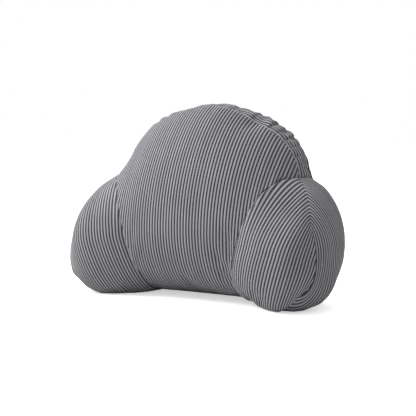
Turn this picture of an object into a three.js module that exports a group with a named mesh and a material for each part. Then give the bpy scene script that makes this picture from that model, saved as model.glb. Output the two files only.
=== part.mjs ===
import * as THREE from 'three';
import { mergeVertices } from 'three/addons/utils/BufferGeometryUtils.js';

// A filled lumbar pillow of ribbed cloth: a dome-shaped back body between two rounded arms.
// Millimetres, +Z up, front towards -Y. It stands on its base strip and on the undersides of its arms.

// Cloth: ribs counted across each panel, between its two edge seams
const CLOTH_COLOUR = 0x7b797d;
const RIB_HEIGHT = 1.5;
const INNER_RIBS = 30;
const VALLEY_RIBS = 6; // ribs of the inner arm that end on the upper half of the valley seam
const TIP_RIBS = 8; // ribs of the inner arm that end on the tip seam
const TIP_START = 0.25; // share of the tip seam below its first rib end
const STRIP_END_RIBS = 13; // ribs of the outer arm that end below the boxing strip
const FRONT_RIBS = 69;
const FRONT_EDGE_RIBS = 0.08; // how much closer the front ribs get towards the sides
const FRONT_EDGE_POWER = 3;
const STRIP_RIBS = 9;
const BACK_RIBS = 73;

// Sewing: how far the filled panels swell, and what share of their relief each seam draws in
const SWELLING = 2.2;
const SWELLING_REACH = 10;
const RIB_FADE = 2; // distance from a seam in which its ribs come up
const SEAM_DRAW = {
  valley: 0.15,
  frontDome: 0.5,
  stripEnd: 0.5,
  side: 1,
  backDome: 1,
  baseEnd: 1,
  baseFront: 1,
  baseBack: 1,
};

// Arm towards +X, one row for each rib station from the valley seam (first) to the tip seam (last).
// A rib climbs from low, passes its fullest point mid in the direction lean, and bends over to top.
const ARM_STATIONS = [
  { top: [178, 20, 216], mid: [110, -74, 112], low: [98, 42, 4], lean: [0.3, 0, 1] },
  { top: [202, -7, 193], mid: [156, -88, 102], low: [140, 5, -3], lean: [0.3, 0, 1] },
  { top: [220, -33, 165], mid: [206, -89, 94], low: [175, -42, 1], lean: [0.2, 0.03, 1] },
  { top: [229, -50, 138], mid: [241, -57, 88], low: [205, -77, 33], lean: [-0.05, 0.1, 1] },
];
const INNER_FULLNESS = { valley: 0.7, arm: 1.6, low: 0.75 };
const VALLEY_REACH = 1 / 3; // share of the inner arm over which it fills out from the valley seam
const VALLEY_EVENING = 0.05; // how far the front rib ends are evened out along the valley seam

// Outer arm panel: its fullest points from the tip seam to the side seam at the back.
const OUTER_MIDS = [
  [241, -57, 88],
  [254, -23, 92],
  [258, 12, 103],
  [248, 46, 112],
  [216, 66, 108],
];
const OUTER_FULLNESS = { ridge: 1.6, back: 0.9, low: 0.62 };

// Dome: the front seam starts at the arm's valley corner, the back seam at the end of the boxing strip.
const FRONT_APEX = { y: 42, z: 339 };
const BACK_APEX = { y: 84, z: 341 };
const BACK_CORNER = new THREE.Vector3(183, 67, 208);
const FRONT_DOME_POWER = 1.7;
const BACK_DOME_POWER = 1.85;
const STRIP_CROWNS = [2, 4, 9, 8, 8]; // how far the strip bulges out, from the middle to an end
const STRIP_CENTRE_Z = 170; // the strip bulges away from this height

// Cross folds where the boxing strip is gathered: degrees along the dome from its middle, and depth.
const FOLDS = [
  { angle: -68, depth: 3 },
  { angle: -54, depth: 3.5 },
  { angle: -38, depth: 3.5 },
  { angle: -20, depth: 2 },
  { angle: 14, depth: 2 },
  { angle: 27, depth: 3 },
  { angle: 39, depth: 5.5 },
  { angle: 46, depth: 3.5 },
  { angle: 53, depth: 5 },
  { angle: 60, depth: 3.5 },
  { angle: 68, depth: 2.5 },
  { angle: 76, depth: 1.5 },
];
const FOLD_WIDTH = 3;

// Front panel: fullest height and depth in the middle, falling back towards the corners of the dome.
const FRONT_MID = { y: -80, z: 130 };
const FRONT_DROP = 17;
const FRONT_DROP_POWER = 2.2;
const FRONT_FULLNESS = { middleTop: 1.55, sideTop: 2.05, low: 0.9 };
const FRONT_FULLNESS_POWER = 3;
const FRONT_REACH = 25; // distance over which the panel is drawn into the valley seam
const FOOT_BLEND = 0.1; // angle in which the rows of a rib crowd together above a raised foot
const FOOT_POWER = 4;
const FRONT_BOW = { x: -142, aside: 6, reach: 40 }; // ribs beside one arm bow aside, towards the middle
const FRONT_BOW_POWER = 8;

// Base and back
const BASE_FRONT_Y = 48;
const BASE_SEAM_Z = 4;
const BASE_POWER = 4;
const BACK_LOW_CORNER = new THREE.Vector3(184, 70, BASE_SEAM_Z);
const BACK_LOW_BOW = 12;
const BACK_CROWN = 26;
const BACK_RISE = 40; // the back is fullest higher up in its middle
const BACK_FULLNESS = { top: 1, low: OUTER_FULLNESS.low };

// Uneven filling: places where the pillow is pushed out or falls in, with the push and its reach.
const FILLING = [
  { place: [-165, 10, 235], push: [4, 3, -2], reach: 32 },
  { place: [-240, -50, 130], push: [4, 2, 0], reach: 45 },
  { place: [-150, 45, 288], push: [2, 1, 0], reach: 34 },
  { place: [-105, 40, 305], push: [-3, 0, 4], reach: 60 },
  { place: [90, 20, 315], push: [-3, 0, -6], reach: 35 },
  { place: [190, 66, 240], push: [-6, 0, 0], reach: 36 },
  { place: [202, 78, 218], push: [-8, 0, -2], reach: 24 },
  { place: [237, -6, 26], push: [5, 3, 0], reach: 34 },
  { place: [115, -29, 4], push: [6, 3, 0], reach: 26 },
];

// Fineness of the faceted surface
const RIB_ROWS = 10;
const BACK_ROWS = 7;
const STRIP_COLUMNS = 58;
const SEAM_MARGIN = 0.015; // first row of a panel beside its seam, as a share of the rib's length
const UPRIGHT_STEPS = 12;
const RIDGE_STEPS = 10;
const DOME_STEPS = 40;
const BASE_STEPS = 12;
const SHORT_STEPS = 4;
const SEAM_SAMPLES = 60; // points of a seam that distances are measured to
const TABLE_STEPS = 800;
const LOW_ROW_POWER = 1.5; // above 1 brings the rows of a rib closer together near the floor
const SLOPE_STEP = 1e-3;
const MERGE_DISTANCE = 1e-3;
const SMALLEST_ANGLE = 1e-6;

const QUARTER = Math.PI / 2;
const { lerp, clamp } = THREE.MathUtils;
const column = (name) => ARM_STATIONS.map((row) => row[name]);
const evenSteps = (count) => Array.from({ length: count + 1 }, (_, k) => k / count);

function curveThrough(points) {
  const corners = points.map((point) => new THREE.Vector3(...point));
  return new THREE.CatmullRomCurve3(corners, false, 'catmullrom', 0.5);
}

const armTop = curveThrough(column('top'));
const armMid = curveThrough(column('mid'));
const armLow = curveThrough(column('low'));
const armLean = curveThrough(column('lean'));
const outerMid = curveThrough(OUTER_MIDS);
const stripCrown = curveThrough(STRIP_CROWNS.map((crown) => [crown, 0, 0]));
const tipPlace = INNER_RIBS - TIP_RIBS;
const ridgeRibs = tipPlace - VALLEY_RIBS;
const outerRibs = ridgeRibs + STRIP_END_RIBS;
const ridgeShare = ridgeRibs / outerRibs; // share of the outer panel that lies along the ridge seam
const valleyCut = VALLEY_RIBS / INNER_RIBS;
const tipCut = tipPlace / INNER_RIBS;
const valleyCorner = armTop.getPoint(0);
const baseCorner = armLow.getPoint(0);
const upright = new THREE.Vector3(0, 0, 1);

// Value at x on the broken line through xs and ys, where xs never falls.
function readTable(xs, ys, x) {
  let low = 0;
  let high = xs.length - 1;
  while (high - low > 1) {
    const middle = Math.floor((low + high) / 2);
    if (xs[middle] > x) high = middle;
    else low = middle;
  }
  const step = xs[high] - xs[low];
  const share = step > 0 ? clamp((x - xs[low]) / step, 0, 1) : 1;
  return lerp(ys[low], ys[high], share);
}

// Each half of a rib is a quarter ellipse between its mid point and its end.
// A fullness below 1 makes that half squarer, and above 1 flatter.
function ribArc({ top, mid, low, lean, fullness }, angle) {
  const end = angle > 0 ? top : low;
  const power = angle > 0 ? fullness.top : fullness.low;
  const corner = mid.clone().addScaledVector(lean, end.z - mid.z);
  const nearMid = 1 - Math.abs(Math.sin(angle));
  const nearEnd = 1 - Math.max(Math.cos(angle), 0) ** power;
  return corner
    .multiplyScalar(1 - nearMid - nearEnd)
    .addScaledVector(mid, nearMid)
    .addScaledVector(end, nearEnd);
}

// Angle along a rib: v is 0 at its low end, 0.5 at its mid point and 1 at its top end.
function ribAngle(v) {
  return v < 0.5 ? QUARTER * (Math.max(2 * v, 0) ** LOW_ROW_POWER - 1) : QUARTER * (2 * v - 1);
}

// Rib of the inner arm at the share u from the valley seam to the tip seam.
function innerRib(u) {
  return {
    top: armTop.getPoint(u),
    mid: armMid.getPoint(u),
    low: armLow.getPoint(u),
    lean: armLean.getPoint(u),
    fullness: {
      top: lerp(INNER_FULLNESS.valley, INNER_FULLNESS.arm, clamp(u / VALLEY_REACH, 0, 1)),
      low: INNER_FULLNESS.low,
    },
  };
}

const innerArm = (u, v) => ribArc(innerRib(clamp(u, 0, 1)), ribAngle(v));

// Inner arm panel along its own ribs: the first run into the valley seam, and the last into the tip seam.
function innerPanel(u, share) {
  const place = u * INNER_RIBS;
  const toValley = 0.5 + (0.5 * place) / VALLEY_RIBS;
  const toTip = lerp(1, TIP_START, (place - tipPlace) / TIP_RIBS);
  const v = share * clamp(Math.min(toValley, toTip), 0, 1);
  const ended = VALLEY_RIBS * clamp(2 * v - 1, 0, 1);
  const tipEnded = TIP_RIBS * clamp((v - TIP_START) / (1 - TIP_START), 0, 1);
  return innerArm((place - ended) / (INNER_RIBS - ended - tipEnded), v);
}

// Rounded dome line from corner to corner over an apex, at the distance x from the middle.
function domeLine(corner, apex, power, x) {
  const rise = Math.max(1 - Math.abs(x / corner.x) ** power, 0) ** (1 / power);
  const y = lerp(corner.y, apex.y, Math.sqrt(rise));
  const z = lerp(corner.z, apex.z, rise);
  return new THREE.Vector3(x, y, z);
}

// Share of the half width reached along a dome line, by even angles from end to end.
const domePlace = (share) => Math.sin(QUARTER * (2 * share - 1));
const frontDome = (x) => domeLine(valleyCorner, FRONT_APEX, FRONT_DOME_POWER, x);
const backDome = (x) => domeLine(BACK_CORNER, BACK_APEX, BACK_DOME_POWER, x);

// Boxing strip: u runs along the dome from -X to +X, and v from the front seam to the back seam.
function boxingStrip(u, v) {
  const w = domePlace(u);
  const point = frontDome(w * valleyCorner.x).lerp(backDome(w * BACK_CORNER.x), v);
  const outward = new THREE.Vector3(point.x, 0, point.z - STRIP_CENTRE_Z).normalize();
  const crown = stripCrown.getPoint(clamp(Math.abs(2 * u - 1), 0, 1)).x;
  return point.addScaledVector(outward, crown * 4 * v * (1 - v));
}

// Outer arm panel: u runs from the tip seam to the side seam at the back.
// Its ribs hang from the ridge seam, and then from the end of the boxing strip.
function outerArm(u, v) {
  const along = clamp(u / ridgeShare, 0, 1);
  const past = clamp((u - ridgeShare) / (1 - ridgeShare), 0, 1);
  const rib = {
    top: armTop.getPoint(1 - along).add(boxingStrip(1, past)).sub(valleyCorner),
    mid: outerMid.getPoint(clamp(u, 0, 1)),
    low: armLow.getPoint(1 - along).lerp(BACK_LOW_CORNER, past),
    lean: upright.clone().lerp(armLean.getPoint(1 - along), Math.max(1 - 2 * along, 0)),
    fullness: { top: lerp(OUTER_FULLNESS.ridge, OUTER_FULLNESS.back, past), low: OUTER_FULLNESS.low },
  };
  return ribArc(rib, ribAngle(v));
}

// Base strip's front edge, at the rib that stands x from the middle.
function baseFront(x) {
  const bend = Math.min(Math.abs(x) / baseCorner.x, 1) ** BASE_POWER;
  return new THREE.Vector3(x, lerp(BASE_FRONT_Y, baseCorner.y, bend), BASE_SEAM_Z);
}

// Base strip's back edge: w is -1 to 1 across the pillow.
function baseBack(w) {
  const y = BACK_LOW_CORNER.y + BACK_LOW_BOW * (1 - w * w);
  return new THREE.Vector3(w * BACK_LOW_CORNER.x, y, BASE_SEAM_Z);
}

// Front ribs end on the valley seam at their own place across, or at its foot where the seam turns in.
const valleyLine = (angle) => ribArc(innerRib(0), angle);
const valleyAngles = evenSteps(TABLE_STEPS).map((share) => lerp(-QUARTER, QUARTER, share));
const valleyPlaces = [];
for (const [k, angle] of valleyAngles.entries()) {
  const furthest = Math.max(valleyLine(angle).x, valleyPlaces[k - 1]?.furthest ?? 0);
  const even = lerp(baseCorner.x, valleyCorner.x, k / TABLE_STEPS);
  valleyPlaces.push({ furthest, x: lerp(furthest, even, VALLEY_EVENING) });
}
const valleyXs = valleyPlaces.map(({ x }) => x);
const valleyRib = (angle) => readTable(valleyAngles, valleyXs, angle);
const valleyAngle = (x) => readTable(valleyXs, valleyAngles, Math.abs(x));

// The place of a front rib across the panel, and the share of the panel at a place.
function frontPlace(u) {
  const w = 2 * u - 1;
  return valleyCorner.x * (w + FRONT_EDGE_RIBS * w * (1 - Math.abs(w) ** FRONT_EDGE_POWER));
}

const frontShares = evenSteps(TABLE_STEPS);
const frontPlaces = frontShares.map(frontPlace);
const frontShare = (x) => readTable(frontPlaces, frontShares, x);

// Where a front rib starts: on the base strip, or on the valley seam beside the arm.
function frontFoot(x) {
  if (Math.abs(x) <= baseCorner.x) return baseFront(x);
  const foot = valleyLine(valleyAngle(x));
  foot.x *= Math.sign(x);
  return foot;
}

// A whole front rib from the base height to the dome seam, before the valley seam cuts it short.
function frontRib(x) {
  const top = frontDome(x);
  const low = baseFront(x);
  const height = (top.z - BASE_SEAM_Z) / (FRONT_APEX.z - BASE_SEAM_Z);
  const sideways = Math.abs(x / valleyCorner.x);
  const drop = FRONT_DROP * sideways ** FRONT_DROP_POWER;
  const mid = new THREE.Vector3(x, FRONT_MID.y + drop, lerp(BASE_SEAM_Z, FRONT_MID.z, height));
  const fullness = {
    top: lerp(FRONT_FULLNESS.middleTop, FRONT_FULLNESS.sideTop, sideways ** FRONT_FULLNESS_POWER),
    low: FRONT_FULLNESS.low,
  };
  return { top, mid, low, lean: upright, fullness };
}

// Angle at which a rib passes a height.
function angleAtHeight({ top, mid, low }, z) {
  const end = z > mid.z ? top : low;
  const share = clamp((z - mid.z) / (end.z - mid.z), 0, 1);
  return Math.asin(share) * Math.sign(z - mid.z);
}

// Angle up a front rib: rows keep their heights across the panel and crowd above a raised foot.
const softClimb = (angle) => FOOT_BLEND * Math.log1p(Math.exp(angle / FOOT_BLEND));

function frontAngle(start, v) {
  const angle = lerp(-QUARTER, QUARTER, v);
  const climb = softClimb(angle - start) - softClimb(-QUARTER - start) * (1 - v) ** FOOT_POWER;
  return start + (climb * (QUARTER - start)) / softClimb(QUARTER - start);
}

// How far a front rib bows aside, most at half its length.
function frontBow(x, climbed) {
  const near = Math.exp(-(((x - FRONT_BOW.x) / FRONT_BOW.reach) ** 2));
  const edge = 1 - (x / valleyCorner.x) ** FRONT_BOW_POWER;
  return FRONT_BOW.aside * near * edge * 4 * climbed * (1 - climbed);
}

// Front panel: u runs across from -X to +X, and v up each rib.
function frontPanel(u, v) {
  const x = frontPlace(u);
  const rib = frontRib(x);
  const foot = frontFoot(x);
  const start = Math.abs(x) <= baseCorner.x ? -QUARTER : angleAtHeight(rib, foot.z);
  const origin = ribArc(rib, start);
  const angle = frontAngle(start, v);
  const point = ribArc(rib, angle);
  const pull = Math.exp(-point.distanceTo(origin) / FRONT_REACH) * (1 - v);
  const climbed = (angle - start) / Math.max(QUARTER - start, SMALLEST_ANGLE);
  const aside = frontRib(x + frontBow(x, climbed));
  const bowed = ribArc(aside, angle > 0 ? angleAtHeight(aside, point.z) : angle);
  return bowed.addScaledVector(foot.sub(origin), pull);
}

// Back panel: u runs across from +X to -X, and v upwards.
function backPanel(u, v) {
  const w = 1 - 2 * u;
  const middle = 1 - w * w;
  const side = outerMid.getPoint(1);
  const rib = {
    top: backDome(w * BACK_CORNER.x),
    mid: new THREE.Vector3(w * side.x, side.y + BACK_CROWN * middle, side.z + BACK_RISE * middle),
    low: baseBack(w),
    lean: upright,
    fullness: BACK_FULLNESS,
  };
  return ribArc(rib, ribAngle(v));
}

// Base strip, flat on the floor: u runs across from -X to +X, and v from the back to the front.
function baseStrip(u, v) {
  const w = 2 * u - 1;
  return baseBack(w).lerp(baseFront(w * baseCorner.x), v).setZ(0);
}

// Seam lines towards +X, and the seams that draw each panel in.
const seamLines = {
  valley: (s) => innerArm(0, s),
  tip: (s) => innerArm(1, s),
  ridge: (s) => armTop.getPoint(s),
  under: (s) => armLow.getPoint(s),
  side: (s) => outerArm(1, s),
  stripEnd: (s) => boxingStrip(1, s),
  baseEnd: (s) => baseCorner.clone().lerp(BACK_LOW_CORNER, s),
  frontDome: (s) => frontDome(domePlace(s) * valleyCorner.x),
  backDome: (s) => backDome(domePlace(s) * BACK_CORNER.x),
  baseFront: (s) => baseFront((2 * s - 1) * baseCorner.x),
  baseBack: (s) => baseBack(2 * s - 1),
};
const panelSeams = {
  inner: ['valley'],
  outer: ['side', 'stripEnd', 'baseEnd'],
  front: ['valley', 'frontDome', 'baseFront'],
  strip: ['frontDome', 'backDome', 'stripEnd'],
  back: ['backDome', 'baseBack', 'side'],
};
const seamSamples = {};
for (const name of Object.keys(SEAM_DRAW)) {
  const line = evenSteps(SEAM_SAMPLES).map(seamLines[name]);
  seamSamples[name] = line.concat(line.map(({ x, y, z }) => new THREE.Vector3(-x, y, z)));
}

function seamDistance(point, name) {
  let nearest = Infinity;
  for (const sample of seamSamples[name]) nearest = Math.min(nearest, sample.distanceToSquared(point));
  return Math.sqrt(nearest);
}

// Swelling and ribs over a point, each drawn in by the seam that reaches it most.
function relief(point, crest, seams) {
  let swellingDrawn = 0;
  let ribsDrawn = 0;
  for (const name of seams) {
    const distance = seamDistance(point, name);
    swellingDrawn = Math.max(swellingDrawn, SEAM_DRAW[name] * Math.exp(-distance / SWELLING_REACH));
    ribsDrawn = Math.max(ribsDrawn, SEAM_DRAW[name] * Math.exp(-distance / RIB_FADE));
  }
  return SWELLING * (1 - swellingDrawn) + RIB_HEIGHT * crest * (1 - ribsDrawn);
}

// Outward direction of a panel, from its slopes both ways.
function outwardAt(surface, u, v) {
  const slope = (du, dv) => surface(u + du, v + dv).sub(surface(u - du, v - dv));
  return slope(SLOPE_STEP, 0).cross(slope(0, SLOPE_STEP)).normalize();
}

// The two panels that meet on a lifted seam, with the shares of a place close to it on each.
const NEAR = SEAM_MARGIN;
const FAR = 1 - SEAM_MARGIN;
const seamSides = {
  valley: (s) => [[innerArm, NEAR, s], [frontPanel, frontShare(valleyRib(ribAngle(s))), NEAR]],
  frontDome: (s) => [[frontPanel, frontShare(domePlace(s) * valleyCorner.x), FAR], [boxingStrip, s, NEAR]],
  stripEnd: (s) => [[boxingStrip, FAR, s], [outerArm, lerp(ridgeShare, 1, s), FAR]],
  tip: (s) => [[innerArm, FAR, s], [outerArm, NEAR, s]],
  ridge: (s) => [[innerArm, s, FAR], [outerArm, ridgeShare * (1 - s), FAR]],
  under: (s) => [[innerArm, s, NEAR], [outerArm, ridgeShare * (1 - s), NEAR]],
};
const seamPanels = {
  valley: ['inner', 'front'],
  frontDome: ['front', 'strip'],
  stripEnd: ['strip', 'outer'],
  tip: ['inner', 'outer'],
  ridge: ['inner', 'outer'],
  under: ['inner', 'outer'],
};
const seamCrest = { ridge: 0.5 }; // how far up a rib the seam lies

// A seam rises with its two panels, along the mean of their outward directions.
function liftedPoint(name, share) {
  const point = seamLines[name](share);
  if (!(name in seamSides)) return point;
  const outward = new THREE.Vector3();
  for (const side of seamSides[name](clamp(share, NEAR, FAR))) outward.add(outwardAt(...side));
  const seams = seamPanels[name].flatMap((panel) => panelSeams[panel]);
  return point.addScaledVector(outward.normalize(), relief(point, seamCrest[name] ?? 0, seams));
}

// The front, the strip and both arm panels meet at the top of the valley seam.
function cornerPoint() {
  const ends = [['valley', 1], ['frontDome', 1], ['stripEnd', 0], ['ridge', 0]];
  const corner = new THREE.Vector3();
  for (const [name, share] of ends) corner.addScaledVector(liftedPoint(name, share), 1 / ends.length);
  return corner;
}

const liftedCorner = cornerPoint();
const cornerShares = { valley: [1], frontDome: [0, 1], stripEnd: [0], ridge: [0] };

function seamPoint(name, share) {
  if (cornerShares[name]?.includes(share)) {
    const corner = liftedCorner.clone();
    return name === 'frontDome' && share === 0 ? mirrored(corner, -1) : corner;
  }
  if (name === 'tip' && share === 0) return liftedPoint('under', 1);
  if (name === 'tip' && share === 1) return liftedPoint('ridge', 1);
  return liftedPoint(name, share);
}

// Lines of a panel's grid: a share of its width, whether a rib's crest runs there, and how deep a fold is.
function ribLines(count) {
  const lines = [];
  for (let k = 1; k < 2 * count; k += 1) {
    lines.push({ share: k / (2 * count), crest: k % 2, fold: 0 });
  }
  return lines;
}

function plainLines(count, foldAt = () => 0) {
  return evenSteps(count - 1).map((step) => {
    const share = lerp(SEAM_MARGIN, 1 - SEAM_MARGIN, step);
    return { share, crest: 0, fold: foldAt(share) };
  });
}

function foldDepth(share) {
  const angle = 90 * (2 * share - 1);
  let depth = 0;
  for (const fold of FOLDS) depth += fold.depth * Math.exp(-(((angle - fold.angle) / FOLD_WIDTH) ** 2));
  return depth;
}

const positions = [];
const triangles = [];

// Each place of uneven filling moves the points around it, less with distance as a bell curve.
function settled(point) {
  const moved = point.clone();
  for (const { place, push, reach } of FILLING) {
    const near = Math.exp(-point.distanceToSquared(new THREE.Vector3(...place)) / reach ** 2);
    moved.addScaledVector(new THREE.Vector3(...push), near);
  }
  return moved;
}

function addPoint(point) {
  const { x, y, z } = settled(point);
  positions.push(x, y, Math.max(z, 0));
  return positions.length / 3 - 1;
}

function addTriangle(a, b, c, side) {
  if (side > 0) triangles.push(a, b, c);
  else triangles.push(a, c, b);
}

function mirrored(point, side) {
  return new THREE.Vector3(point.x * side, point.y, point.z);
}

// A seam is a line of points that the panels on both sides share.
function addSeam(name, steps, side = 1) {
  return evenSteps(steps).map((share) => {
    const index = addPoint(mirrored(seamPoint(name, share), side));
    return { index, share };
  });
}

const reversed = (line) => line.map(({ index, share }) => ({ index, share: 1 - share })).reverse();
const reshared = (line, shareOf) => line.map(({ index, share }) => ({ index, share: shareOf(share) }));
const joined = (first, ...rest) => first.concat(...rest.map((line) => line.slice(1)));

// The strip of triangles between a seam and the edge of the panel beside it.
function zip(seam, edge, side) {
  let i = 0;
  let j = 0;
  while (i < seam.length - 1 || j < edge.length - 1) {
    const nextSeam = i < seam.length - 1 ? seam[i + 1].share : Infinity;
    const nextEdge = j < edge.length - 1 ? edge[j + 1].share : Infinity;
    if (nextSeam <= nextEdge) {
      addTriangle(seam[i].index, seam[i + 1].index, edge[j].index, side);
      i += 1;
    } else {
      addTriangle(seam[i].index, edge[j + 1].index, edge[j].index, side);
      j += 1;
    }
  }
}

// A panel: a grid of raised points, sewn to the seams below, right, above and left of it.
function addPanel({ surface, drawnBy, columns, rows, seams, side = 1 }) {
  const grid = columns.map((line) => rows.map((row) => {
    const point = surface(line.share, row.share);
    if (!drawnBy) return addPoint(point);
    const raised = relief(point, line.crest + row.crest, drawnBy) - line.fold;
    point.addScaledVector(outwardAt(surface, line.share, row.share), raised);
    return addPoint(mirrored(point, side));
  }));
  for (let i = 0; i < columns.length - 1; i += 1) {
    for (let j = 0; j < rows.length - 1; j += 1) {
      addTriangle(grid[i][j], grid[i + 1][j], grid[i + 1][j + 1], side);
      addTriangle(grid[i][j], grid[i + 1][j + 1], grid[i][j + 1], side);
    }
  }
  const across = (j) => columns.map(({ share }, i) => ({ index: grid[i][j], share }));
  const upwards = (i) => rows.map(({ share }, j) => ({ index: grid[i][j], share }));
  zip(seams.low, across(0), side);
  zip(seams.right, upwards(columns.length - 1), side);
  zip(reversed(seams.high), reversed(across(rows.length - 1)), side);
  zip(reversed(seams.left), reversed(upwards(0)), side);
}

// Arm panels on one side, with the seams that the middle panels share.
function addArm(side) {
  const valley = addSeam('valley', UPRIGHT_STEPS, side);
  const tip = addSeam('tip', UPRIGHT_STEPS, side);
  const ridge = addSeam('ridge', RIDGE_STEPS, side);
  const under = addSeam('under', RIDGE_STEPS, side);
  const sideSeam = addSeam('side', UPRIGHT_STEPS, side);
  const stripEnd = addSeam('stripEnd', SHORT_STEPS, side);
  const baseEnd = addSeam('baseEnd', SHORT_STEPS, side);
  const alongArm = (seam) => reshared(reversed(seam), (share) => share * ridgeShare);
  const pastArm = (seam) => reshared(seam, (share) => lerp(ridgeShare, 1, share));
  const half = UPRIGHT_STEPS / 2;
  const lowValley = reshared(valley.slice(0, half + 1), (share) => 2 * share);
  const highValley = reshared(valley.slice(half), (share) => valleyCut * (2 * share - 1));
  const turn = UPRIGHT_STEPS * TIP_START;
  const lowTip = reshared(tip.slice(0, turn + 1), (share) => share / TIP_START);
  const highTip = reshared(reversed(tip.slice(turn)), (share) => lerp(tipCut, 1, share / (1 - TIP_START)));
  addPanel({
    surface: innerPanel,
    drawnBy: panelSeams.inner,
    columns: ribLines(INNER_RIBS),
    rows: plainLines(RIB_ROWS),
    seams: {
      low: under,
      right: lowTip,
      high: joined(highValley, reshared(ridge, (share) => lerp(valleyCut, tipCut, share)), highTip),
      left: lowValley,
    },
    side,
  });
  addPanel({
    surface: outerArm,
    drawnBy: panelSeams.outer,
    columns: ribLines(outerRibs),
    rows: plainLines(RIB_ROWS),
    seams: {
      low: joined(alongArm(under), pastArm(baseEnd)),
      right: sideSeam,
      high: joined(alongArm(ridge), pastArm(stripEnd)),
      left: tip,
    },
    side,
  });
  return { valley, sideSeam, stripEnd, baseEnd };
}

// Front panel, boxing strip, back panel and base strip, between the two arms.
function addMiddle(left, right) {
  const frontSeam = addSeam('frontDome', DOME_STEPS);
  const backSeam = addSeam('backDome', DOME_STEPS);
  const baseFrontSeam = addSeam('baseFront', BASE_STEPS);
  const baseBackSeam = addSeam('baseBack', BASE_STEPS);
  const valleyShare = (v) => frontShare(valleyRib(ribAngle(v)));
  const foot = joined(
    reshared(reversed(left.valley), (share) => 1 - valleyShare(1 - share)),
    reshared(baseFrontSeam, (share) => frontShare((2 * share - 1) * baseCorner.x)),
    reshared(right.valley, valleyShare),
  );
  addPanel({
    surface: frontPanel,
    drawnBy: panelSeams.front,
    columns: ribLines(FRONT_RIBS),
    rows: plainLines(RIB_ROWS),
    seams: {
      low: foot,
      right: right.valley.slice(-1),
      high: reshared(frontSeam, (share) => frontShare(domePlace(share) * valleyCorner.x)),
      left: left.valley.slice(-1),
    },
  });
  addPanel({
    surface: boxingStrip,
    drawnBy: panelSeams.strip,
    columns: plainLines(STRIP_COLUMNS, foldDepth),
    rows: ribLines(STRIP_RIBS),
    seams: { low: frontSeam, right: right.stripEnd, high: backSeam, left: left.stripEnd },
  });
  addPanel({
    surface: backPanel,
    drawnBy: panelSeams.back,
    columns: ribLines(BACK_RIBS),
    rows: plainLines(BACK_ROWS),
    seams: {
      low: reversed(baseBackSeam),
      right: left.sideSeam,
      high: reversed(reshared(backSeam, (share) => (1 + domePlace(share)) / 2)),
      left: right.sideSeam,
    },
  });
  addPanel({
    surface: baseStrip,
    columns: plainLines(BASE_STEPS),
    rows: plainLines(SHORT_STEPS),
    seams: {
      low: baseBackSeam,
      right: reversed(right.baseEnd),
      high: baseFrontSeam,
      left: reversed(left.baseEnd),
    },
  });
}

// One closed body, centred over the origin with its base at height 0.
function pillowGeometry() {
  addMiddle(addArm(-1), addArm(1));
  const loose = new THREE.BufferGeometry();
  loose.setAttribute('position', new THREE.Float32BufferAttribute(positions, 3));
  loose.setIndex(triangles);
  const geometry = mergeVertices(loose, MERGE_DISTANCE);
  geometry.computeBoundingBox();
  const centre = geometry.boundingBox.getCenter(new THREE.Vector3());
  geometry.translate(-centre.x, -centre.y, -geometry.boundingBox.min.z);
  geometry.computeVertexNormals();
  return geometry;
}

const cloth = new THREE.MeshStandardMaterial({ color: CLOTH_COLOUR, roughness: 0.95, metalness: 0 });
const pillow = new THREE.Mesh(pillowGeometry(), cloth);
pillow.name = 'pillow';

const lumbarPillow = new THREE.Group();
lumbarPillow.add(pillow);

export default lumbarPillow;
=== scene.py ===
import math

import bpy
import numpy as np
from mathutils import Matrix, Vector


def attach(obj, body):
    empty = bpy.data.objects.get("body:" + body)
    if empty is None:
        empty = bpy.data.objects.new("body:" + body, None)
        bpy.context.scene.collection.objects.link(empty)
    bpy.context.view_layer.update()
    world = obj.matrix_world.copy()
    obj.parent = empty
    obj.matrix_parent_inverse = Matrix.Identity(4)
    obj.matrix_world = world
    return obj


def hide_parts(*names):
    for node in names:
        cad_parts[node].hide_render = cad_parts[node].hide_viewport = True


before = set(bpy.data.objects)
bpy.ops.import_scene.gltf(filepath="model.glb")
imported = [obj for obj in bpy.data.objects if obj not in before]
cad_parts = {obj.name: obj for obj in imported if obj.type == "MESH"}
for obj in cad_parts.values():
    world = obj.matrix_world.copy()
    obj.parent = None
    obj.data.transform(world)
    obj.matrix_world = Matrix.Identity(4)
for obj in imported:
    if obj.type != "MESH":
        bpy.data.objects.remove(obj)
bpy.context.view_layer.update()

mm = 0.001  # every size below is in millimetres, and meshes are made in metres
quarterTurn = math.pi / 2
tiny = 1e-6


# camera: the photograph's viewing angle, by its distance, lens and the aim point's place in the frame

shot = {
    "aim": (0, -40, 156),
    "azimuth": 30,
    "elevation": 5,
    "distance": 1564,
    "framePixels": 416,
    "focalPixels": 900,
    "aimPixel": (189, 212),
    "sensor": 36,
    "clip": (0.05, 50),  # metres
}


def makeCamera():
    # the camera stands on a line from the aim point, turned by azimuth from -Y and raised by elevation
    a, e = math.radians(shot["azimuth"]), math.radians(shot["elevation"])
    back = Vector((math.sin(a) * math.cos(e), -math.cos(a) * math.cos(e), math.sin(e)))
    lens = bpy.data.cameras.new("photoLens")
    lens.sensor_width = shot["sensor"]
    lens.lens = shot["focalPixels"] * shot["sensor"] / shot["framePixels"]
    half = shot["framePixels"] / 2
    lens.shift_x = (half - shot["aimPixel"][0]) / shot["framePixels"]
    lens.shift_y = (shot["aimPixel"][1] - half) / shot["framePixels"]
    lens.clip_start, lens.clip_end = shot["clip"]
    camera = bpy.data.objects.new("photoCamera", lens)
    camera.location = Vector(shot["aim"]) * mm + back * shot["distance"] * mm
    camera.rotation_mode = "QUATERNION"
    camera.rotation_quaternion = (-back).to_track_quat("-Z", "Y")
    bpy.context.collection.objects.link(camera)
    bpy.context.scene.camera = camera


makeCamera()
print("camera set")


# pattern pieces of the cover: each is a surface of two shares u and v, from 0 to 1

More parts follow.
